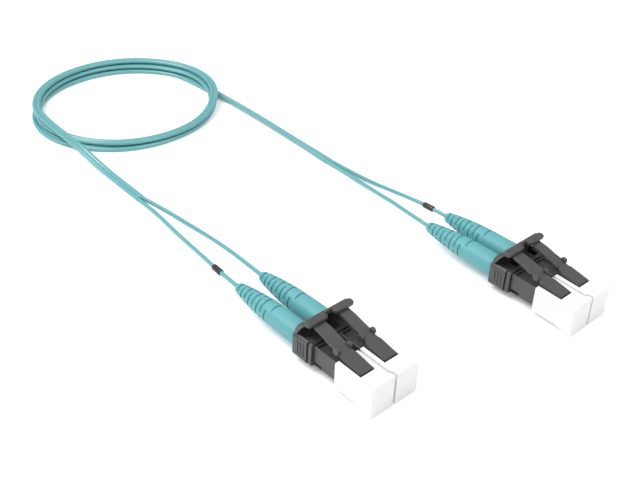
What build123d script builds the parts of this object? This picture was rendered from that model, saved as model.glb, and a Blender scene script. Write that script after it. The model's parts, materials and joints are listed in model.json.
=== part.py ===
from build123d import *
import math
import os

# Fibre optic patch cord: two duplex plugs on one two-lobe cord.
# Millimetres. +X is the way both plugs mate, +Z is up, Z = 0 is the surface the cord lies on.
# The origin is the centre of the two duplex plugs' footprint.

# ---------------------------------------------------------------- driving dimensions
PLUG_PITCH = 6.25          # between the two plug axes of one duplex end
AXIS_Z = 4.1               # plug axes above the surface
END_SPACING_Y = 47.2       # between the two duplex ends
END_OFFSET_X = 9.7         # end b lies this much further along +X
FOOTPRINT_CENTRE_X = 0.75  # centre of a duplex end, ahead of its clip's rear face

PLUG_SIZE = 4.5            # square section of the plug housing
FERRULE_R = 0.6245         # 1.249 mm ceramic ferrule
LOBE_D = 1.1               # one lobe of the joined cord
LOBE_PITCH = 1.15          # between the lobes of the joined cord
LEG_R = 0.475              # one leg, split from the joined cord
CORE_R = 0.46              # the cord where the boot grips it

# stations along a plug axis, measured from the clip's rear face
BOOT_TIP_X = -20.2
BOOT_CAVITY_X = -7.0
BOOT_FRONT_X = 0.85
CLIP_LENGTH = 4.1
CLIP_WALL_X = 0.9
RIM_X = (4.45, 5.3)
HOUSING_X = (5.4, 19.2)
LATCH_POCKET_X = (11.8, 17.15)
FLANGE_X = (13.4, 14.95)
SHOULDER_X = (15.0, 15.6)
FERRULE_X = (12.9, 20.9)
FERRULE_BARE_X = 15.7      # full size from here forward
FERRULE_STUB_R = 0.45      # the end that the flange holds
CAP_X = (11.85, 21.7)

# flexing parts
LATCH_PIVOT = (16.2, 2.05)     # x, z of the latch root
TRIGGER_PIVOT = (0.75, 3.05)   # x, z of the trigger's living hinge
LATCH_TOP = [(17.15, 2.55), (14.5, 3.05), (12.2, 3.7), (10.2, 4.35), (8.2, 4.95), (6.2, 5.6), (4.7, 5.85)]
LATCH_EAR = (10.75, 3.85)      # x, z of the locking ears
LATCH_THICK = (0.6, 0.8)       # at the root, at the free end

# the boot's outer profile as x, radius, and its slits as x and half the arc they span
BOOT_OUTER = [(BOOT_TIP_X, 0.95), (-19.9, 1.12), (-18.6, 1.38), (-16.0, 1.78), (-13.0, 2.12), (-10.0, 2.35),
              (-5.0, 2.46), (BOOT_FRONT_X, 2.5)]
SLITS_TOP = [(-18.9, 80), (-16.2, 80), (-13.5, 80), (-10.75, 80), (-8.0, 42)]
SLITS_SIDE = [(-17.6, 80), (-14.9, 80), (-12.1, 80), (-9.37, 44)]
SLIT_WIDTH = 0.35
SLIT_DEPTH = 0.3

# the coil: two and a half turns of the joined cord lying flat
COIL_CENTRE = (-112.6, 3.4)
COIL_R = 24.05             # where the coil's two ends leave it
COIL_TURNS = [(23.2, 0.1, -0.8), (23.2, -0.3, 0.2), (24.6, 0.9, 0.4)]   # radius and centre's shift, from below
LAYER_Z = 1.2              # height of one layer
COIL_STUB = 11.6           # straight stretch that each end of the coil runs on for

ENDS = {
    "a": (-END_OFFSET_X / 2 - FOOTPRINT_CENTRE_X, -END_SPACING_Y / 2),
    "b": (END_OFFSET_X / 2 - FOOTPRINT_CENTRE_X, END_SPACING_Y / 2),
}
PLUG_SIDES = {"1": -PLUG_PITCH / 2, "2": PLUG_PITCH / 2}

# ---------------------------------------------------------------- cord routes, chosen by hand
TAIL_ROUTES = {
    "a": [(-101.0, -20.6, 2.95), (-96.5, -20.5, 2.7), (-91.0, -20.2, 1.5),
          (-85.0, -20.0, 0.65), (-78.0, -20.1, 0.55), (-71.0, -20.3, 0.55)],
    "b": [(-101.0, 27.45, 0.55), (-92.0, 27.6, 0.55), (-80.0, 27.4, 0.55),
          (-68.0, 27.0, 0.55), (-56.0, 26.7, 0.55)],
}
LEG_ROUTES = {
    "a1": [(-71.0, -20.875, 0.55), (-64.0, -20.95, 0.5), (-56.0, -22.0, 0.62), (-48.0, -23.45, 1.6),
           (-40.0, -25.05, 3.0), (-33.0, -26.4, 4.0), (-25.8, -26.725, 4.1)],
    "a2": [(-71.0, -19.725, 0.55), (-64.0, -18.7, 0.5), (-56.0, -18.1, 0.62), (-48.0, -18.35, 1.6),
           (-40.0, -19.2, 3.0), (-33.0, -20.1, 4.0), (-25.8, -20.475, 4.1)],
    "b1": [(-56.0, 26.125, 0.55), (-49.5, 26.25, 0.5), (-42.0, 25.35, 0.9), (-35.0, 23.75, 2.1),
           (-28.0, 22.1, 3.4), (-22.0, 20.9, 4.02), (-16.1, 20.475, 4.1)],
    "b2": [(-56.0, 27.275, 0.55), (-49.5, 27.55, 0.5), (-42.0, 27.5, 0.9), (-35.0, 27.05, 2.1),
           (-28.0, 26.6, 3.4), (-22.0, 26.65, 4.02), (-16.1, 26.725, 4.1)],
}
ARC_SHARE = 0.45           # share of the shorter run that an arc may use
MARKER_PLACES = {"a": ("a1", 4, 5, 0.45), "b": ("b2", 4, 5, 0.45)}   # leg, run, share of the run
MARKER_LENGTH = 3.0


# ---------------------------------------------------------------- shape helpers
def rod(x0, x1, r):
    """A round bar along X."""
    return Pos(x0, 0, 0) * Rot(0, 90, 0) * Cylinder(r, x1 - x0, align=(Align.CENTER, Align.CENTER, Align.MIN))


def block(x0, x1, y0, y1, z0, z1):
    return Pos((x0 + x1) / 2, (y0 + y1) / 2, (z0 + z1) / 2) * Box(x1 - x0, y1 - y0, z1 - z0)


def bar(x0, x1, half_width, z0, z1, corner):
    """A bar along X with a rounded rectangular section."""
    section = Plane.YZ.offset(x0) * Pos(0, (z0 + z1) / 2) * RectangleRounded(2 * half_width, z1 - z0, corner)
    return extrude(section, amount=x1 - x0)


def lathe(profile):
    """A solid of revolution about X from (x, radius) points."""
    face = make_face(Polyline(*[(x, 0, r) for x, r in profile], close=True))
    return revolve(face, axis=Axis.X)


def side_shape(profile, half_width):
    """(x, z) points pushed out along Y to both sides."""
    face = make_face(Polyline(*[(x, 0, z) for x, z in profile], close=True))
    return extrude(face, amount=half_width, dir=(0, 1, 0), both=True)


def plan_shape(profile, z0, z1):
    """(x, y) points pushed up from z0 to z1."""
    face = make_face(Polyline(*[(x, y, z0) for x, y in profile], close=True))
    return extrude(face, amount=z1 - z0, dir=(0, 0, 1))


# ---------------------------------------------------------------- pieces of one plug, on its own axis
def plug_housing():
    """The square front body, bored for the ferrule, with an open top under the latch."""
    half = PLUG_SIZE / 2
    x0, x1 = HOUSING_X
    shell = bar(x0, x1, half, -half, half, 0.22)
    shell = chamfer(shell.faces().sort_by(Axis.X)[-1].edges(), 0.15)
    shell -= rod(x0, 10.8, 1.45) + rod(10.8, SHOULDER_X[0], 1.3) + rod(*SHOULDER_X, 0.85)
    shell -= rod(SHOULDER_X[1], x1, 1.6)
    shell -= block(x0, LATCH_POCKET_X[0], -1.85, 1.85, 1.65, half + 1)
    shell -= block(*LATCH_POCKET_X, -1.82, 1.82, 1.75, half + 1)
    for side in (-1, 1):
        shell -= block(x0, x0 + 2.3, side * half - 0.4, side * half + 0.4, -half - 1, -1.4)
    return shell


def latch_lever():
    """The tongue at the front, the two locking ears and the free end under the trigger."""
    top = LATCH_TOP
    root, free = LATCH_THICK
    length = top[0][0] - top[-1][0]
    under = [(x, z - root - (free - root) * (top[0][0] - x) / length) for x, z in top]
    plate = side_shape(top + under[::-1], 2.0)
    outline = [(17.15, 1.4), (17.05, 1.62), (16.85, 1.725), (12.8, 1.725), (11.6, 1.45), (8.6, 1.45),
               (6.4, 1.35), (4.7, 1.3)]
    plate &= plan_shape(outline + [(x, -y) for x, y in outline[::-1]], 1.0, 6.5)
    ex, ez = LATCH_EAR
    for side in (-1, 1):
        ear = Pos(ex, side * 1.82, ez) * Rot(90, 0, 0) * Cylinder(0.64, 0.96)
        plate += fillet(ear.edges(), 0.18)
    px, pz = LATCH_PIVOT
    bead = Pos(px, -1.5, pz) * Rot(-90, 0, 0) * Cylinder(0.24, 3.0, align=(Align.CENTER, Align.CENTER, Align.MIN))
    return plate + bead


def ferrule():
    x0, x1 = FERRULE_X
    bare, held = FERRULE_BARE_X, FERRULE_STUB_R
    return lathe([(x0, 0.2), (x0 + 0.5, 0.07), (x1, 0.07), (x1, 0.38), (x1 - 0.3, FERRULE_R),
                  (bare, FERRULE_R), (bare, held), (x0, held)])


def ferrule_flange():
    """The metal collar pressed on the ferrule, with its tail tube inside the spring."""
    x0, x1 = FLANGE_X
    bore = FERRULE_STUB_R
    return lathe([(7.4, 0.35), (FERRULE_X[0], 0.35), (FERRULE_X[0], bore), (x1, bore), (x1, 1.05),
                  (x1 - 0.2, 1.24), (x0, 1.24), (x0, 0.8), (7.4, 0.8)])


def spring():
    mean, wire = 0.97, 0.115
    x0, x1 = 6.15, 13.25
    turns = 9
    helix = Helix(pitch=(x1 - x0 - 2 * wire) / turns, height=x1 - x0 - 2 * wire, radius=mean)
    section = Plane(origin=helix @ 0, z_dir=helix % 0) * Circle(wire)
    coil = sweep(section, path=helix, is_frenet=True)
    return Pos(x0 + wire, 0, 0) * Rot(0, 90, 0) * coil


def rear_body():
    """The body behind the housing: spring cup in front, crimp post behind."""
    return lathe([(-6.2, 0.8), (6.0, 0.8), (6.0, 1.15), (9.6, 1.15), (9.6, 1.4), (5.3, 1.4), (5.3, 2.15),
                  (0.95, 2.15), (0.95, 1.25), (-6.2, 1.25)])


def crimp_sleeve():
    return lathe([(-6.0, 1.3), (-0.4, 1.3), (-0.4, 1.62), (-0.7, 1.65), (-5.7, 1.65), (-6.0, 1.62)])


def cable_core():
    """The cord's end inside the boot and the buffered fibre on to the ferrule."""
    return lathe([(BOOT_TIP_X, 0), (12.0, 0), (12.0, 0.25), (-6.4, 0.25), (-6.4, CORE_R), (BOOT_TIP_X, CORE_R)])


def radius_at(profile, x):
    """The radius that an (x, radius) profile has at x."""
    for (x0, r0), (x1, r1) in zip(profile, profile[1:]):
        if x0 <= x <= x1:
            return r0 + (r1 - r0) * (x - x0) / (x1 - x0)


def slit(x, half_arc, middle):
    """A shallow cut round part of the boot, to both sides of the angle middle about X."""
    floor = radius_at(BOOT_OUTER, x) - SLIT_DEPTH
    x0, x1 = x - SLIT_WIDTH / 2, x + SLIT_WIDTH / 2
    face = make_face(Polyline((x0, 0, floor), (x1, 0, floor), (x1, 0, 3.0), (x0, 0, 3.0), close=True))
    return Rot(middle - half_arc, 0, 0) * revolve(face, axis=Axis.X, revolution_arc=2 * half_arc)


def boot():
    """Bend relief: smooth in front, tapered behind, with flex slits that take turns up and down, left and right."""
    body = lathe([(BOOT_TIP_X, 0.53)] + BOOT_OUTER
                 + [(BOOT_FRONT_X, 1.67), (BOOT_CAVITY_X, 1.67), (BOOT_CAVITY_X, 0.53)])
    for rows, middle in ((SLITS_TOP, 0), (SLITS_SIDE, 90)):
        for x, half_arc in rows:
            body -= slit(x, half_arc, middle)
            body -= slit(x, half_arc, middle + 180)
    return body


# ---------------------------------------------------------------- pieces that a duplex end shares
def duplex_clip():
    """Joins the two plugs: a cradle open at the top, a neck and a rim."""
    clip = bar(0, CLIP_LENGTH, 6.15, -2.75, 2.75, 0.8)
    clip = fillet(clip.faces().sort_by(Axis.X)[0].edges(), 0.25)
    clip += bar(CLIP_LENGTH, RIM_X[0], 5.6, -2.35, 2.35, 0.5) + bar(*RIM_X, 6.0, -2.62, 2.62, 0.55)
    for y in PLUG_SIDES.values():
        clip -= Pos(0, y, 0) * rod(-0.5, CLIP_WALL_X, 2.55)
        clip -= Pos(0, y, 0) * rod(CLIP_WALL_X - 0.1, 6, 2.2)
        inner, outer_wall = sorted((math.copysign(0.75, y), math.copysign(5.4, y)))
        clip -= block(CLIP_WALL_X + 0.45, CLIP_LENGTH, inner, outer_wall, -1.2, 4)
        clip -= block(CLIP_LENGTH - 0.01, RIM_X[0], y - 1.9, y + 1.9, 0, 4)
    for side in (-1, 1):
        for x, z0, z1 in ((1.25, -1.5, 1.5), (2.05, -1.5, 1.5), (2.85, -1.5, 1.5)):
            clip += side_pip(x, side, z0, z1)
    return clip


def side_pip(x, side, z0, z1):
    """One raised grip bar on the clip's side wall."""
    y = side * 6.15
    return block(x, x + 0.4, y - 0.12, y + 0.12, z0, z1)


def trigger():
    """A closed slanted plate hinged on the clip's side walls, with one pad above each latch's free end."""
    px, pz = TRIGGER_PIVOT
    profile = [(0.45, 2.85), (0.6, 3.9), (1.3, 5.3), (2.2, 6.4), (2.7, 6.8), (3.2, 6.8), (3.2, 5.98),
               (2.9, 5.7), (2.2, 4.9), (1.4, 3.6), (1.05, 2.85)]
    hoop = side_shape(profile, 6.0) & bar(0, 6, 6.0, 1.0, 6.8, 1.4)
    panel = [(1.15, 2.0), (1.45, 3.6), (2.25, 4.9), (2.95, 5.7), (2.7, 5.7), (1.95, 4.9), (1.15, 3.6), (0.85, 2.0)]
    hoop -= side_shape(panel, 5.1)
    pad = side_shape([(2.9, 5.98), (4.8, 5.98), (5.0, 6.15), (5.0, 6.55), (4.6, 6.8), (2.9, 6.8)], 6.0)
    for y in (-3.4, 3.4):
        hoop += pad & Pos(3.25, y, 6.4) * extrude(RectangleRounded(3.5, 4.8, 0.8), amount=1, both=True)
    for side in (-1, 1):
        hoop += Pos(px, side * 5.45, pz) * Rot(90, 0, 0) * Cylinder(0.26, 1.0)
    return hoop


def dust_cap():
    """One soft cap over both plugs, with open slots over the latches and a raised front lip."""
    x0, x1 = CAP_X
    profile = [(x0, -2.95), (17.5, -2.95), (19.6, -3.5), (20.3, -4.1), (x1, -4.1), (x1, 3.3), (20.7, 3.3),
               (20.0, 2.9), (19.2, 2.75), (x0, 2.95)]
    cap = side_shape(profile, 6.1) & bar(x0 - 1, x1 + 1, 6.1, -4.1, 3.3, 0.7)
    for y in PLUG_SIDES.values():
        cap -= Pos(0, y, 0) * (block(x0 - 1, 19.5, -2.3, 2.3, -2.3, 2.3) + rod(19, 21.1, 1.25))
        cap -= block(x0 - 1, 17.5, y - 1.9, y + 1.9, 2, 4)
    cap -= block(x0 - 1, x1 + 1, -0.28, 0.28, 2.1, 4)
    cap -= block(x1 - 0.6, x1 + 1, -0.28, 0.28, -5, 4)
    return cap


# ---------------------------------------------------------------- cord
def arc_radii(points):
    """Each corner's arc radius: a share of its shorter run over the tangent of half its turn."""
    radii = []
    for before, corner, after in zip(points, points[1:], points[2:]):
        a, b = Vector(*corner) - Vector(*before), Vector(*after) - Vector(*corner)
        radii.append(ARC_SHARE * min(a.length, b.length) / math.tan(math.radians(a.get_angle(b)) / 2))
    return radii


def route_wire(points):
    return FilletPolyline(*points, radius=arc_radii(points))


def leg(points):
    path = route_wire(points)
    return sweep(Plane(origin=path @ 0, z_dir=path % 0) * Circle(LEG_R), path=path)


def ribbon_section(wire):
    """The joined cord's outline at the start of its route, wide side level."""
    start, along = wire @ 0, wire % 0
    across = Vector(0, 0, 1).cross(along).normalized()
    plane = Plane(origin=start, x_dir=across, z_dir=along)
    return plane * SlotCenterToCenter(LOBE_PITCH, LOBE_D)


def zip_tail(points):
    path = route_wire(points)
    return sweep(ribbon_section(path), path=path)


def coil_layer(number):
    """One whole turn of the joined cord as a flat ring."""
    radius, dx, dy = COIL_TURNS[number]
    half = (LOBE_PITCH + LOBE_D) / 2
    ring = Cylinder(radius + half, LAYER_Z) - Cylinder(radius - half, 2 * LAYER_Z)
    return Pos(COIL_CENTRE[0] + dx, COIL_CENTRE[1] + dy, (number + 0.5) * LAYER_Z) * ring


def zip_coil():
    """The outer shape of the coil: two layers all round, a third on the far half, and its two straight ends."""
    cx, cy = COIL_CENTRE
    half = (LOBE_PITCH + LOBE_D) / 2
    top = 2 * LAYER_Z
    third = coil_layer(2) & block(cx - 30, cx, cy - 30, cy + 30, 0, 4)
    end_a = block(cx - 0.01, cx + COIL_STUB, cy - COIL_R - half, cy - COIL_R + half, top, top + LOBE_D)
    end_b = block(cx, cx + COIL_STUB, cy + COIL_R - half, cy + COIL_R + half, 0, LOBE_D)
    return coil_layer(0) + coil_layer(1) + third + end_a + end_b


def marker_band(points, run_start, run_end, share):
    """A printed sleeve on one leg, square to the run it sits on."""
    a, b = Vector(*points[run_start]), Vector(*points[run_end])
    along = (b - a).normalized()
    origin = a + (b - a) * share - along * (MARKER_LENGTH / 2)
    band = Plane(origin=origin, z_dir=along) * (Circle(0.74) - Circle(0.5))
    return extrude(band, amount=MARKER_LENGTH)


# ---------------------------------------------------------------- assembly
PLUG_PIECES = {
    "plug_housing": plug_housing,
    "latch_lever": latch_lever,
    "ferrule": ferrule,
    "ferrule_flange": ferrule_flange,
    "ferrule_spring": spring,
    "rear_body": rear_body,
    "crimp_sleeve": crimp_sleeve,
    "cable_core": cable_core,
    "boot": boot,
}
END_PIECES = {"duplex_clip": duplex_clip, "latch_trigger": trigger, "dust_cap": dust_cap}


def build():
    nodes = {}
    for name, make in PLUG_PIECES.items():
        piece = make()
        for end, (ex, ey) in ENDS.items():
            for number, side in PLUG_SIDES.items():
                nodes[f"{name}_{end}{number}"] = Pos(ex, ey + side, AXIS_Z) * piece
    for name, make in END_PIECES.items():
        piece = make()
        for end, (ex, ey) in ENDS.items():
            nodes[f"{name}_{end}"] = Pos(ex, ey, AXIS_Z) * piece
    for key, points in LEG_ROUTES.items():
        nodes[f"cord_leg_{key}"] = leg(points)
    for end, points in TAIL_ROUTES.items():
        nodes[f"cord_tail_{end}"] = zip_tail(points)
    nodes["cord_coil"] = zip_coil()
    for end, (key, start, stop, share) in MARKER_PLACES.items():
        nodes[f"marker_band_{end}"] = marker_band(LEG_ROUTES[key], start, stop, share)
    return nodes


def report_cord():
    ribbon = LOBE_PITCH * LOBE_D + math.pi * LEG_R ** 2
    for label, routes, area in (("leg", LEG_ROUTES, math.pi * LEG_R ** 2), ("tail", TAIL_ROUTES, ribbon)):
        for key, points in routes.items():
            wire = route_wire(points)
            print(label, key, "length", round(wire.length, 2), "section x length", round(area * wire.length, 2),
                  "radii", [round(r, 1) for r in arc_radii(points)])


os.makedirs("parts", exist_ok=True)
for node, shape in build().items():
    export_step(shape, f"parts/{node}.step")
report_cord()
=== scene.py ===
"""A duplex fibre patch cord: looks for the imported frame.

Sizes are in millimetres, and MM turns them into metres.
"""
import json
import math

import bmesh
import bpy
from mathutils import Matrix, Vector


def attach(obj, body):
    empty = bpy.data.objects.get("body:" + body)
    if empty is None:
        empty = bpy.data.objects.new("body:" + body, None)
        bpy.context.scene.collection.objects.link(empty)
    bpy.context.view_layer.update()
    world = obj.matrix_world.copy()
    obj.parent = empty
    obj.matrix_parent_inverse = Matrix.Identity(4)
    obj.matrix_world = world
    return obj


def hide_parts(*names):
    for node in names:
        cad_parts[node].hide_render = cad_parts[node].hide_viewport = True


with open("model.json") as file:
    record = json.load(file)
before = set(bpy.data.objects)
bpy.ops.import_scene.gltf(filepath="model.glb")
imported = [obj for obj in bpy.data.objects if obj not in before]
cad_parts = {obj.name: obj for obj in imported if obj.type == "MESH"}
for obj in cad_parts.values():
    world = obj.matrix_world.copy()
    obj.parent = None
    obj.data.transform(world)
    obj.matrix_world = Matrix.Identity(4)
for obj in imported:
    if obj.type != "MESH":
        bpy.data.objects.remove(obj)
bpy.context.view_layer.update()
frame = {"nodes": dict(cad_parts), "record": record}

MM = 0.001
SLOT_OF = {entry["node"]: entry["material_slot"] for entry in frame["record"]["subparts"]}
BODY_OF = {node: body for body, nodes in frame["record"]["behaviour"]["bodies"].items()
           for node in nodes}

# ---------------------------------------------------------------- sizes shared with the CAD part
PLUG_PITCH = 6.25
AXIS_Z = 4.1
ENDS = {"a": (-5.6, -23.6), "b": (4.1, 23.6)}
SIDES = {"1": -PLUG_PITCH / 2, "2": PLUG_PITCH / 2}
LOBE_D = 1.1
LOBE_PITCH = 1.15
LEG_D = 0.95


# ---------------------------------------------------------------- small helpers
def smooth_step(x, low, high):
    """0 up to low and 1 from high, eased in between."""
    t = min(max((x - low) / (high - low), 0.0), 1.0)
    return t * t * (3 - 2 * t)


def circle(radius, count):
    return [(radius * math.cos(2 * math.pi * i / count), radius * math.sin(2 * math.pi * i / count))
            for i in range(count)]


def plug_centre(key):
    """Where a plug's axis lies, by its end and side, such as a1."""
    return ENDS[key[0]][0], ENDS[key[0]][1] + SIDES[key[1]]


def add_object(name, data):
    item = bpy.data.objects.new(name, data)
    bpy.context.scene.collection.objects.link(item)
    return item


def new_piece(name, mesh, *nodes):
    """Adds a mesh as a piece that stands for some CAD nodes, on their body and in their slot."""
    body, slot = BODY_OF[nodes[0]], SLOT_OF[nodes[0]]
    piece = add_object(name, mesh)
    mesh.materials.clear()
    mesh.materials.append(MATERIALS[slot])
    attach(piece, body)
    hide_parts(*nodes)
    return piece


def smooth(mesh, crisp):
    """Smooth shading, with edges sharper than the angle, in degrees, kept crisp."""
    bm = bmesh.new()
    bm.from_mesh(mesh)
    for face in bm.faces:
        face.smooth = True
    for edge in bm.edges:
        edge.smooth = len(edge.link_faces) == 2 and edge.calc_face_angle(0) < math.radians(crisp)
    bm.to_mesh(mesh)
    bm.free()


def ring_mesh(name, rings, crisp):
    """A closed shape: rings of points, in metres, each joined to the next and the last to the first."""
    count = len(rings[0])
    faces = []
    for a in range(len(rings)):
        b = (a + 1) % len(rings)
        for i in range(count):
            j = (i + 1) % count
            faces.append((a * count + i, a * count + j, b * count + j, b * count + i))
    mesh = bpy.data.meshes.new(name)
    mesh.from_pydata([point for ring in rings for point in ring], [], faces)
    bm = bmesh.new()
    bm.from_mesh(mesh)
    bmesh.ops.recalc_face_normals(bm, faces=bm.faces)
    bm.to_mesh(mesh)
    bm.free()
    smooth(mesh, crisp)
    return mesh


def lathe_mesh(name, profile, count, at=(0, 0, 0)):
    """Turns a closed profile of (x, radius) points about the X axis through a place."""
    rings = [[[(c + o) * MM for c, o in zip((x, u, v), at)] for u, v in circle(r, count)]
             for x, r in profile]
    return ring_mesh(name, rings, crisp=35)


# ---------------------------------------------------------------- materials
TINT_PATCHES = (0.35, 3)    # noise scale per mm, detail
GLOSS_PATCHES = (1.6, 4)
GLOSS_SWING = 0.07
GRAIN_DETAIL = 3
BUMP_STRENGTH = 0.5


def material(name, colour, roughness, drift=0.06, grain=9.0, grain_depth=0.004, stretch=(1, 1, 1),
             inputs=None):
    """A polymer or metal by nodes: colour drift, uneven gloss and a fine surface grain."""
    mat = bpy.data.materials.new(name)
    mat.use_nodes = True
    nodes, links = mat.node_tree.nodes, mat.node_tree.links
    shader = nodes["Principled BSDF"]
    where = nodes.new("ShaderNodeTexCoord")
    scale = nodes.new("ShaderNodeMapping")
    scale.inputs["Scale"].default_value = [s / MM for s in stretch]
    links.new(where.outputs["Object"], scale.inputs["Vector"])

    def noise(frequency, detail):
        node = nodes.new("ShaderNodeTexNoise")
        node.inputs["Scale"].default_value = frequency
        node.inputs["Detail"].default_value = detail
        links.new(scale.outputs["Vector"], node.inputs["Vector"])
        return node.outputs["Fac"]

    tint = nodes.new("ShaderNodeMix")
    tint.data_type = "RGBA"
    tint.inputs["A"].default_value = [c * (1 - drift) for c in colour] + [1]
    tint.inputs["B"].default_value = [min(1, c * (1 + drift)) for c in colour] + [1]
    links.new(noise(*TINT_PATCHES), tint.inputs["Factor"])
    links.new(tint.outputs["Result"], shader.inputs["Base Color"])
    gloss = nodes.new("ShaderNodeMapRange")
    gloss.inputs["To Min"].default_value = roughness - GLOSS_SWING
    gloss.inputs["To Max"].default_value = roughness + GLOSS_SWING
    links.new(noise(*GLOSS_PATCHES), gloss.inputs["Value"])
    links.new(gloss.outputs["Result"], shader.inputs["Roughness"])
    bump = nodes.new("ShaderNodeBump")
    bump.inputs["Strength"].default_value = BUMP_STRENGTH
    bump.inputs["Distance"].default_value = grain_depth * MM
    links.new(noise(grain, GRAIN_DETAIL), bump.inputs["Height"])
    links.new(bump.outputs["Normal"], shader.inputs["Normal"])
    for socket, value in (inputs or {}).items():
        shader.inputs[socket].default_value = value
    return mat


MATERIALS = {
    "black_plastic": material("black_plastic", (0.044, 0.044, 0.046), 0.48, grain=7, grain_depth=0.012,
                              inputs={"Specular IOR Level": 0.62}),
    "aqua_boot": material("aqua_boot", (0.095, 0.33, 0.352), 0.5, drift=0.03, grain=6,
                          grain_depth=0.008),
    "aqua_jacket": material("aqua_jacket", (0.1, 0.325, 0.345), 0.3, drift=0.04, grain=4,
                            grain_depth=0.006, stretch=(0.3, 1, 1), inputs={"Specular IOR Level": 0.8}),
    "white_cap": material("white_cap", (0.71, 0.715, 0.715), 0.34, drift=0.01, grain=3,
                          grain_depth=0.003,
                          inputs={"Subsurface Weight": 0.12, "Subsurface Scale": 0.0006}),
    "marker_print": material("marker_print", (0.02, 0.02, 0.022), 0.3, grain=5),
    "zirconia": material("zirconia", (0.9, 0.9, 0.88), 0.15, drift=0.01, grain_depth=0.001,
                         inputs={"Coat Weight": 0.4}),
    "flange_metal": material("flange_metal", (0.7, 0.68, 0.64), 0.28, grain_depth=0.002,
                             inputs={"Metallic": 1}),
    "spring_steel": material("spring_steel", (0.62, 0.62, 0.62), 0.25, grain_depth=0.001,
                             inputs={"Metallic": 1}),
    "crimp_metal": material("crimp_metal", (0.74, 0.7, 0.6), 0.3, grain_depth=0.003,
                            inputs={"Metallic": 1}),
}


def dress_cad_nodes():
    """Gives every CAD node the material of its slot."""
    for node, obj in frame["nodes"].items():
        for slot in obj.material_slots:
            slot.material = MATERIALS[SLOT_OF[node]]


# ---------------------------------------------------------------- moulded pieces
# how far each kind's hard edges are rounded over
SOFT_WIDTHS = {"duplex_clip": 0.09, "latch_trigger": 0.12, "dust_cap": 0.14, "plug_housing": 0.05,
               "latch_lever": 0.06}
SOFT_SEGMENTS = 2
PRISM_SEGMENTS = 3
HARD_ANGLE = 28             # degrees; sharper edges are rounded over
FLAT_ANGLE = 1.5            # degrees; flatter edges between the CAD's triangles are dissolved
WELD = 5e-7                 # metres
AREA_SCALE = 1e8            # keeps sums over very small faces well above rounding error

# x, y and height below are about the plug's axis, or about the clip's for the trigger
PAD_X = (2.72, 4.45)
PAD_Y = (0.8, 6.02)
PAD_Z = (5.95, 6.86)
PAD_CORNER = 0.8
PAD_ROUNDING = 0.27
CAD_PAD_FROM = (3.25, 5.9)  # the CAD's pads lie ahead of this x and over this height
CAD_PAD_SQUEEZE = 0.34      # how much of their length ahead of it is taken away

LEVER_END_X = 5.3           # the free end lies behind this
LEVER_END_MOVE = (-0.45, 0.07)
TONGUE_X = (12, 14)         # where the tongue rises
TONGUE_RISE = 0.28          # how far it then stands over the CAD's
EAR_CAD = (10.75, 3.85)     # x and height of the ears in the CAD
EAR = (10.7, 4.2)
EAR_RADIUS = 0.74
EAR_POINTS = 24
EAR_Y = (1.1, 1.95)
EAR_ROUNDING = 0.16
EAR_REACH = 0.8             # the CAD's ears lie this near to their middle, and past EAR_FROM_Y
EAR_FROM_Y = 1.35
EAR_ROOT_Y = 1.3
EAR_SHRINK = (0.8, 0.5)     # what is left of the CAD's ears, round and in length

HOUSING_REAR = 5.42
LEDGE = (5.85, 1.9)         # its front and half its width
LEDGE_Z = (1.5, 2.2)
LEDGE_ROUNDING = 0.07
NOTCH_FRONT = 7.8
NOTCH_TOP = -1.3
NOTCH_WALL = 1.85
NOTCH_DEEPER = 0.45
SILL_Y = (1.3, 2.24)
SILL_Z = (-2.24, -2.06)
SILL_ROUNDING = 0.04


def weighted_normals(mesh):
    """Smooth shading where each vertex follows its largest faces, so that rounded edges read as such."""
    bm = bmesh.new()
    bm.from_mesh(mesh)
    normals = []
    for face in bm.faces:
        face.smooth = True
    for vert in bm.verts:
        total = Vector((0, 0, 0))
        for face in vert.link_faces:
            total += face.normal * face.calc_area() * AREA_SCALE
        normals.append(total.normalized() if total.length > 1e-12 else vert.normal.copy())
    bm.to_mesh(mesh)
    bm.free()
    mesh.normals_split_custom_set_from_vertices(normals)


def about_axis(vert, cx, cy):
    """A vertex's x, y and height about the axis at a centre."""
    return vert.co.x / MM - cx, vert.co.y / MM - cy, vert.co.z / MM - AXIS_Z


def add_prism(bm, outline, low, high, lay, rounding):
    """Adds a prism with rounded ends, from low to high: lay(a, b, c) places outline point a, b."""
    rings = [[bm.verts.new([c * MM for c in lay(a, b, level)]) for a, b in outline]
             for level in (low, high)]
    new = [bm.faces.new(rings[0][::-1]), bm.faces.new(rings[1])]
    for i in range(len(outline)):
        j = (i + 1) % len(outline)
        new.append(bm.faces.new((rings[0][i], rings[0][j], rings[1][j], rings[1][i])))
    bmesh.ops.recalc_face_normals(bm, faces=new)
    rims = [e for face in new[:2] for e in face.edges]
    bmesh.ops.bevel(bm, geom=rims, offset=rounding * MM, segments=PRISM_SEGMENTS, profile=0.5,
                    affect="EDGES", clamp_overlap=True)


def upright(cx, cy):
    """Lays an outline out level about the axis at a centre, with the prism standing up from it."""
    return lambda a, b, c: (cx + a, cy + b, AXIS_Z + c)


def rounded_box(x0, x1, y0, y1, radius, steps=7):
    """The outline of a rectangle with round corners, counter-clockwise."""
    centres = [(x1 - radius, y1 - radius, 0), (x0 + radius, y1 - radius, 90),
               (x0 + radius, y0 + radius, 180), (x1 - radius, y0 + radius, 270)]
    points = []
    for x, y, start in centres:
        for i in range(steps):
            turn = math.radians(start + 90 * i / (steps - 1))
            points.append((x + radius * math.cos(turn), y + radius * math.sin(turn)))
    return points


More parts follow.
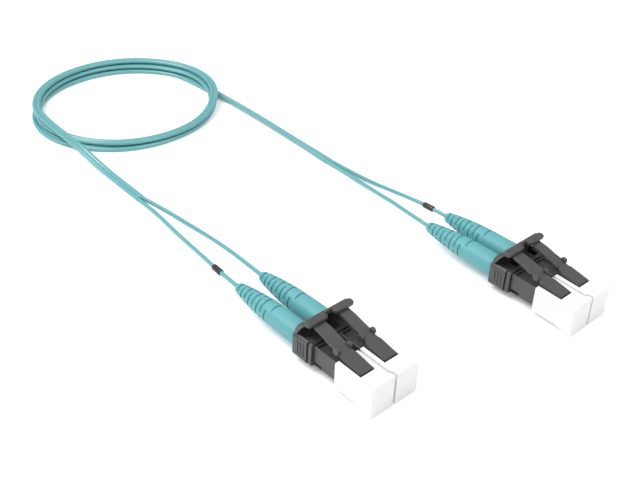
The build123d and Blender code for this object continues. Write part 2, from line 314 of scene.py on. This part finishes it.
def trigger_pads(bm, node):
    """The two pads, finer and a little shorter than the CAD's, with round ends."""
    cx, cy = ENDS[node[-1]]
    for vert in bm.verts:
        x, _, z = about_axis(vert, cx, cy)
        ahead = x - CAD_PAD_FROM[0]
        if ahead > 0 and z > CAD_PAD_FROM[1]:
            vert.co.x -= ahead * CAD_PAD_SQUEEZE * MM
    for side in (-1, 1):
        y0, y1 = sorted(side * y for y in PAD_Y)
        add_prism(bm, rounded_box(*PAD_X, y0, y1, PAD_CORNER), *PAD_Z, upright(cx, cy), PAD_ROUNDING)


def latch_details(bm, node):
    """Fits the lever's free end, tongue and ears, and adds finer ears around the CAD's."""
    cx, cy = plug_centre(node[-2:])
    for vert in bm.verts:
        x, y, z = about_axis(vert, cx, cy)
        if x < LEVER_END_X:
            x, z = x + LEVER_END_MOVE[0], z + LEVER_END_MOVE[1]
        elif x > TONGUE_X[0]:
            z += TONGUE_RISE * smooth_step(x, *TONGUE_X)
        elif abs(y) > EAR_FROM_Y and abs(x - EAR_CAD[0]) < EAR_REACH:
            x = EAR[0] + EAR_SHRINK[0] * (x - EAR_CAD[0])
            z = EAR[1] + EAR_SHRINK[0] * (z - EAR_CAD[1])
            y = math.copysign(EAR_ROOT_Y + (abs(y) - EAR_ROOT_Y) * EAR_SHRINK[1], y)
        vert.co = Vector((cx + x, cy + y, AXIS_Z + z)) * MM
    for side in (-1, 1):
        low, high = sorted(side * y for y in EAR_Y)
        add_prism(bm, circle(EAR_RADIUS, EAR_POINTS), low, high,
                  lambda a, b, c: (cx + EAR[0] + a, cy + c, AXIS_Z + EAR[1] + b), EAR_ROUNDING)


def housing_details(bm, node):
    """The low ledge across the latch recess at the rear, and the side notches deeper, with a sill."""
    cx, cy = plug_centre(node[-2:])
    for vert in bm.verts:
        x, y, z = about_axis(vert, cx, cy)
        if x < NOTCH_FRONT and z < NOTCH_TOP and abs(abs(y) - NOTCH_WALL) < 0.1:
            vert.co.y -= math.copysign(NOTCH_DEEPER, y) * MM
    front, half = LEDGE
    ledge = [(HOUSING_REAR, -half), (front, -half), (front, half), (HOUSING_REAR, half)]
    add_prism(bm, ledge, *LEDGE_Z, upright(cx, cy), LEDGE_ROUNDING)
    for side in (-1, 1):
        near, far = (side * y for y in SILL_Y)
        sill = [(HOUSING_REAR, near), (NOTCH_FRONT, near), (NOTCH_FRONT, far), (HOUSING_REAR, far)]
        add_prism(bm, sill, *SILL_Z, upright(cx, cy), SILL_ROUNDING)


DETAILS = {"plug_housing": housing_details, "latch_trigger": trigger_pads, "latch_lever": latch_details}


def softened(node, kind):
    """A CAD node's shape with its hard edges rounded over, as a piece in that node's place."""
    source = frame["nodes"][node]
    bm = bmesh.new()
    bm.from_mesh(source.data)
    bm.transform(source.matrix_world)
    bmesh.ops.remove_doubles(bm, verts=bm.verts, dist=WELD)
    bmesh.ops.dissolve_limit(bm, angle_limit=math.radians(FLAT_ANGLE), verts=bm.verts, edges=bm.edges)
    hard = [e for e in bm.edges
            if len(e.link_faces) == 2 and e.calc_face_angle(0) > math.radians(HARD_ANGLE)]
    bmesh.ops.bevel(bm, geom=hard, offset=SOFT_WIDTHS[kind] * MM, segments=SOFT_SEGMENTS, profile=0.5,
                    affect="EDGES", clamp_overlap=True)
    if kind in DETAILS:
        DETAILS[kind](bm, node)
    mesh = bpy.data.meshes.new(f"soft_{node}")
    bm.to_mesh(mesh)
    bm.free()
    weighted_normals(mesh)
    new_piece(f"soft_{node}", mesh, node)


def moulded_pieces():
    for node in frame["nodes"]:
        kind = node.rsplit("_", 1)[0]
        if kind in SOFT_WIDTHS:
            softened(node, kind)


# ---------------------------------------------------------------- boots
BOOT_OUTER = [(-20.2, 0.72), (-20.12, 0.9), (-19.9, 1.1), (-19.4, 1.24), (-18.6, 1.4), (-17.3, 1.61),
              (-16.0, 1.79), (-14.5, 1.97), (-13.0, 2.12), (-11.5, 2.25), (-10.0, 2.34), (-7.5, 2.42),
              (-5.0, 2.46), (0.65, 2.5), (0.85, 2.45)]
BOOT_INNER = [(0.85, 1.67), (-7.0, 1.67), (-7.0, 0.53), (-20.2, 0.53)]
BOOT_POINTS = 80            # round each ring
BOOT_TIP_X = -20            # rings behind this always stay
SLITS_TOP = [(-18.9, 80), (-16.2, 80), (-13.5, 80), (-10.75, 80), (-8.0, 42)]    # x, half the arc
SLITS_SIDE = [(-17.6, 80), (-14.9, 80), (-12.1, 80), (-9.37, 44)]
SLIT_WIDTH = 0.35
SLIT_DEPTH = 0.26
SLIT_CLEAR = 0.75           # no other ring lies this near to a slit, in slit widths
SLIT_RINGS = (-0.62, -0.4, 0.4, 0.62)   # the rings at a slit, in slit widths from its middle
SLIT_FADE = (-6, 1)         # degrees about its end over which a slit runs out


def boot_rows():
    """The x of the boot's outer rings: both walls of each slit, and the outline's points between."""
    rows = {x for x, _ in BOOT_OUTER}
    for x, _ in SLITS_TOP + SLITS_SIDE:
        rows -= {r for r in rows if abs(r - x) < SLIT_WIDTH * SLIT_CLEAR and r > BOOT_TIP_X}
        rows |= {x + SLIT_WIDTH * share for share in SLIT_RINGS}
    return sorted(rows)


def boot_radius(x):
    """The radius of the boot's outline at an x."""
    for (x0, r0), (x1, r1) in zip(BOOT_OUTER, BOOT_OUTER[1:]):
        if x <= x1 + 1e-9:
            return r0 + (r1 - r0) * (x - x0) / (x1 - x0)


def slit_depth(x, turn):
    """How deep the surface is cut at an x and at an angle, in degrees, round from the boot's top."""
    for slits, middle in ((SLITS_TOP, 0), (SLITS_SIDE, 90)):
        off = abs((turn - middle + 90) % 180 - 90)
        for centre, half in slits:
            if abs(x - centre) < SLIT_WIDTH / 2:
                return SLIT_DEPTH * (1 - smooth_step(off, half + SLIT_FADE[0], half + SLIT_FADE[1]))
    return 0


def boot(key):
    """A boot with its flex slits cut into a turned grid."""
    cx, cy = plug_centre(key)
    profiles = [(x, [boot_radius(x) - slit_depth(x, 360 * i / BOOT_POINTS) for i in range(BOOT_POINTS)])
                for x in boot_rows()]
    profiles += [(x, [r] * BOOT_POINTS) for x, r in BOOT_INNER]
    rings = []
    for x, radii in profiles:
        turns = [2 * math.pi * i / BOOT_POINTS for i in range(BOOT_POINTS)]
        rings.append([((cx + x) * MM, (cy + r * math.sin(t)) * MM, (AXIS_Z + r * math.cos(t)) * MM)
                      for r, t in zip(radii, turns)])
    new_piece(f"boot_shape_{key}", ring_mesh(f"boot_shape_{key}", rings, crisp=50), f"boot_{key}")


# ---------------------------------------------------------------- ferrules
# (x, radius), as in the CAD part but with finer edges
FERRULE = [(12.9, 0.2), (12.9, 0.45), (15.7, 0.45), (15.7, 0.6245), (20.6, 0.6245), (20.72, 0.6),
           (20.84, 0.5), (20.9, 0.38), (20.9, 0.07), (13.4, 0.07)]
FLANGE = [(7.4, 0.35), (7.4, 0.74), (7.46, 0.8), (13.4, 0.8), (13.4, 1.18), (13.46, 1.24),
          (14.75, 1.24), (14.95, 1.05), (14.95, 0.45), (12.9, 0.45), (12.9, 0.35)]
FERRULE_POINTS = 48


def ferrule_pieces(key):
    """The ceramic ferrule and its metal flange, turned fine enough to read as round."""
    at = (*plug_centre(key), AXIS_Z)
    for node, profile in ((f"ferrule_{key}", FERRULE), (f"ferrule_flange_{key}", FLANGE)):
        new_piece(f"turned_{node}", lathe_mesh(f"turned_{node}", profile, FERRULE_POINTS, at), node)


# ---------------------------------------------------------------- cord
# control points of each route, the CAD part's corners
TAIL_ROUTES = {
    "a": [(-101.0, -20.6, 2.95), (-96.5, -20.5, 2.7), (-91.0, -20.2, 1.5),
          (-85.0, -20.0, 0.65), (-78.0, -20.1, 0.55), (-71.0, -20.3, 0.55)],
    "b": [(-101.0, 27.45, 0.55), (-92.0, 27.6, 0.55), (-80.0, 27.4, 0.55),
          (-68.0, 27.0, 0.55), (-56.0, 26.7, 0.55)],
}
LEG_ROUTES = {
    "a1": [(-71.0, -20.875, 0.55), (-64.0, -20.95, 0.5), (-56.0, -22.0, 0.62), (-48.0, -23.45, 1.6),
           (-40.0, -25.05, 3.0), (-33.0, -26.4, 4.0), (-25.8, -26.725, 4.1)],
    "a2": [(-71.0, -19.725, 0.55), (-64.0, -18.7, 0.5), (-56.0, -18.1, 0.62), (-48.0, -18.35, 1.6),
           (-40.0, -19.2, 3.0), (-33.0, -20.1, 4.0), (-25.8, -20.475, 4.1)],
    "b1": [(-56.0, 26.125, 0.55), (-49.5, 26.25, 0.5), (-42.0, 25.35, 0.9), (-35.0, 23.75, 2.1),
           (-28.0, 22.1, 3.4), (-22.0, 20.9, 4.02), (-16.1, 20.475, 4.1)],
    "b2": [(-56.0, 27.275, 0.55), (-49.5, 27.55, 0.5), (-42.0, 27.5, 0.9), (-35.0, 27.05, 2.1),
           (-28.0, 26.6, 3.4), (-22.0, 26.65, 4.02), (-16.1, 26.725, 4.1)],
}
LEG_POINTS = 20
RIBBON_STEPS = 5            # points that the drawn line has for each control point
LEG_STEPS = 8
LOBE_POINTS = 9
WEB_THICKNESS = 0.6         # where the web meets the lobes
WEB_WAIST = 0.8             # the share of it that is left in the web's middle
TAIL_ROLL = math.radians(24)
TAIL_TWIST = ((57, 65), (97, 109))          # -x over which tail b rolls on its edge, and back flat
MARKERS = {"a": ("a1", -33.3), "b": ("b2", -21.3)}   # leg, x of the band's middle
MARKER_LENGTH = 3.0
MARKER_POINTS = 32
# (share of the length, radius), with rolled ends
MARKER_PROFILE = [(-0.5, 0.49), (-0.5, 0.62), (-0.47, 0.69), (-0.42, 0.72), (0.42, 0.72),
                  (0.47, 0.69), (0.5, 0.62), (0.5, 0.49)]

# the coil: where its turns lie, by the angle wound since the cord came in at the back
COIL_CENTRE = (-112.65, 3.4)
COIL_TURNS = 2.5
POINTS_PER_TURN = 24
LAYER = 1.2
CLIMB = (285, 340)          # degrees of each whole turn over which the cord climbs one layer
# the winding's radius at each step wound, from one step before the cord comes in
RADII = [24.47, 24.17, 22.54, 22.0, 23.53, 25.04, 23.74, 22.16, 23.21, 24.4, 23.22, 22.92, 23.55,
         23.73, 22.66, 21.89, 23.37, 25.4, 24.29, 23.58, 23.99, 23.83, 23.06]
RADII_STEP = 45             # degrees


def spline_points(points, resolution):
    """The line, in metres, of the NURBS spline that a route's points control."""
    curve = bpy.data.curves.new("route", "CURVE")
    curve.dimensions = "3D"
    spline = curve.splines.new("NURBS")
    spline.points.add(len(points) - 1)
    for target, point in zip(spline.points, points):
        target.co = (*[c * MM for c in point], 1)
    spline.order_u = 3
    spline.use_endpoint_u = True
    spline.resolution_u = resolution
    holder = add_object("route", curve)
    line = bpy.data.meshes.new_from_object(holder)
    path = [v.co.copy() for v in line.vertices]
    bpy.data.objects.remove(holder)
    bpy.data.meshes.remove(line)
    bpy.data.curves.remove(curve)
    return path


def sweep_mesh(name, path, section, rolls=None):
    """A closed tube: the section's (across, up) points carried along a path in metres.

    It is carried level, or rolled by an angle at each point and lifted so that its low lobe stays down.
    A counter-clockwise section gives faces that look outwards.
    """
    verts, faces, size = [], [], len(section)
    for i, point in enumerate(path):
        along = (path[min(i + 1, len(path) - 1)] - path[max(i - 1, 0)]).normalized()
        level = Vector((0, 0, 1)).cross(along).normalized()
        square = along.cross(level)
        roll = rolls[i] if rolls else 0
        across = level * math.cos(roll) + square * math.sin(roll)
        up = square * math.cos(roll) - level * math.sin(roll)
        lift = Vector((0, 0, LOBE_PITCH / 2 * math.sin(roll) * MM))
        verts += [point + lift + (across * a + up * u) * MM for a, u in section]
    for i in range(len(path) - 1):
        for j in range(size):
            k = (j + 1) % size
            faces.append((i * size + j, i * size + k, (i + 1) * size + k, (i + 1) * size + j))
    faces.append(tuple(range(size))[::-1])
    faces.append(tuple((len(path) - 1) * size + j for j in range(size)))
    mesh = bpy.data.meshes.new(name)
    mesh.from_pydata(verts, [], faces)
    mesh.validate()
    smooth(mesh, crisp=50)
    return mesh


def ribbon_section():
    """Two round lobes joined by a thin web, counter-clockwise."""
    radius = LOBE_D / 2
    open_angle = math.asin(WEB_THICKNESS / LOBE_D)
    right = []
    for i in range(LOBE_POINTS):
        angle = math.pi - open_angle - i * (2 * math.pi - 2 * open_angle) / (LOBE_POINTS - 1)
        right.append((LOBE_PITCH / 2 + radius * math.cos(angle), radius * math.sin(angle)))
    left = [(-x, y) for x, y in right][::-1]
    waist = WEB_THICKNESS / 2 * WEB_WAIST
    return ([(0, waist)] + right + [(0, -waist)] + left)[::-1]


def winding_radius(wound):
    """The winding's radius at an angle wound: a Catmull-Rom curve through the table."""
    place = wound / RADII_STEP + 1
    i = min(max(int(place), 1), len(RADII) - 3)
    t = place - i
    a, b, c, d = RADII[i - 1:i + 3]
    return b + 0.5 * t * (c - a + t * (2 * a - 5 * b + 4 * c - d + t * (3 * (b - c) + d - a)))


def coil_points():
    """Control points of the wound turns, from the back, counter-clockwise seen from above."""
    step = 2 * math.pi / POINTS_PER_TURN
    # the drawn curve lies inside its control points, at about this share of their radius
    inside = (math.cos(step / 2) + 0.75 + 0.25 * math.cos(step)) / 2
    points = []
    for i in range(1, int(COIL_TURNS * POINTS_PER_TURN)):
        wound = i * 360 / POINTS_PER_TURN
        angle = math.radians(90 + wound)
        climbs = sum(smooth_step(wound, CLIMB[0] + 360 * turn, CLIMB[1] + 360 * turn)
                     for turn in range(int(COIL_TURNS)))
        x = COIL_CENTRE[0] + winding_radius(wound) / inside * math.cos(angle)
        y = COIL_CENTRE[1] + winding_radius(wound) / inside * math.sin(angle)
        points.append((x, y, LOBE_D / 2 + LAYER * climbs))
    return points


def tail_rolls(path):
    """Tail b lies a little on its edge between the split and the coil; the rest lies flat."""
    end = next(i for i, point in enumerate(path) if point.x < COIL_CENTRE[0] * MM)
    start, flat = TAIL_TWIST
    return [TAIL_ROLL * smooth_step(-point.x / MM, *start) * (1 - smooth_step(-point.x / MM, *flat))
            if i < end else 0 for i, point in enumerate(path)]


def ribbon():
    """The joined cord: tail b, the coil's turns, then tail a."""
    route = TAIL_ROUTES["b"][::-1] + coil_points() + TAIL_ROUTES["a"]
    path = spline_points(route, RIBBON_STEPS)
    mesh = sweep_mesh("ribbon", path, ribbon_section(), tail_rolls(path))
    piece = new_piece("ribbon", mesh, "cord_tail_a", "cord_tail_b", "cord_coil")


def legs():
    """One round leg from each boot back to its lobe of the ribbon; its faces look inwards."""
    for key, points in LEG_ROUTES.items():
        path = spline_points(points[::-1], LEG_STEPS)
        mesh = sweep_mesh(f"leg_{key}", path, circle(LEG_D / 2, LEG_POINTS)[::-1])
        piece = new_piece(f"leg_{key}", mesh, f"cord_leg_{key}")
        extra = [marker(end, path) for end, (leg, _) in MARKERS.items() if leg == key]


def marker(end, path):
    """A printed sleeve shrunk on the leg, with rolled ends, that follows the leg's own line."""
    middle = min(range(len(path)), key=lambda i: abs(path[i].x - MARKERS[end][1] * MM))
    along = (path[middle - 1] - path[middle + 1]).normalized()
    profile = [(share * MARKER_LENGTH, r) for share, r in MARKER_PROFILE]
    mesh = lathe_mesh(f"marker_{end}", profile, MARKER_POINTS)
    turn = Vector((1, 0, 0)).rotation_difference(along).to_matrix().to_4x4()
    mesh.transform(Matrix.Translation(path[middle]) @ turn)
    return new_piece(f"marker_{end}", mesh, f"marker_band_{end}")


# ---------------------------------------------------------------- floor, light and camera
FLOOR_HALF = 1.2            # metres, as are the lights' sizes and places
FLOOR_LOOK = {"Base Color": (0.93, 0.93, 0.93, 1), "Roughness": 0.9, "Specular IOR Level": 0.1,
              "Emission Color": (1, 1, 1, 1), "Emission Strength": 0.15}
DOME_STRENGTH = {"To Min": 0.15, "To Max": 1.15}    # at the horizon and overhead
LIGHT_SIZE = 0.5
LIGHT_TARGET = (-0.04, 0, 0)
CAMERA_PLACE = (102.47, -127.93, 130.53)
CAMERA_TURN = (46.0, 90 - 34.96, 2.73)      # degrees: heading, tilt up from straight down, roll
CAMERA_LENS = 56.25
SENSOR_WIDTH = 36


def stage():
    """The pale floor that the cord lies on."""
    half = FLOOR_HALF
    mesh = bpy.data.meshes.new("floor")
    mesh.from_pydata([(-half, -half, 0), (half, -half, 0), (half, half, 0), (-half, half, 0)], [],
                     [(0, 1, 2, 3)])
    floor = add_object("floor", mesh)
    pale = bpy.data.materials.new("pale_floor")
    pale.use_nodes = True
    shader = pale.node_tree.nodes["Principled BSDF"]
    for socket, value in FLOOR_LOOK.items():
        shader.inputs[socket].default_value = value
    mesh.materials.append(pale)


def area_light(name, place, power):
    data = bpy.data.lights.new(name, "AREA")
    data.shape = "DISK"
    data.size = LIGHT_SIZE
    data.energy = power
    light = add_object(name, data)
    light.location = place
    light.rotation_euler = (Vector(LIGHT_TARGET) - Vector(place)).to_track_quat("-Z", "Y").to_euler()


def lights():
    """A studio dome, brighter overhead than at the horizon, one large key light and a weak fill."""
    world = bpy.data.worlds.new("studio")
    world.use_nodes = True
    nodes, links = world.node_tree.nodes, world.node_tree.links
    where = nodes.new("ShaderNodeTexCoord")
    split = nodes.new("ShaderNodeSeparateXYZ")
    level = nodes.new("ShaderNodeMapRange")
    for socket, value in DOME_STRENGTH.items():
        level.inputs[socket].default_value = value
    links.new(where.outputs["Generated"], split.inputs["Vector"])
    links.new(split.outputs["Z"], level.inputs["Value"])
    sky = nodes["Background"]
    sky.inputs["Color"].default_value = (1, 1, 1, 1)
    links.new(level.outputs["Result"], sky.inputs["Strength"])
    bpy.context.scene.world = world
    area_light("key", (-0.25, -0.35, 0.6), 4.0)
    area_light("fill", (0.45, 0.1, 0.5), 1.2)


def camera():
    data = bpy.data.cameras.new("camera")
    data.lens = CAMERA_LENS
    data.sensor_width = SENSOR_WIDTH
    data.clip_start = 0.01
    data.clip_end = 10
    cam = add_object("camera", data)
    heading, tilt, roll = (math.radians(angle) for angle in CAMERA_TURN)
    turn = (Matrix.Rotation(heading, 4, "Z") @ Matrix.Rotation(tilt, 4, "X")
            @ Matrix.Rotation(roll, 4, "Z"))
    cam.matrix_world = Matrix.Translation(Vector(CAMERA_PLACE) * MM) @ turn
    bpy.context.scene.camera = cam


dress_cad_nodes()
camera()
stage()
lights()
bpy.context.scene.view_settings.view_transform = "Standard"
moulded_pieces()
for key in LEG_ROUTES:
    boot(key)
    ferrule_pieces(key)
ribbon()
legs()
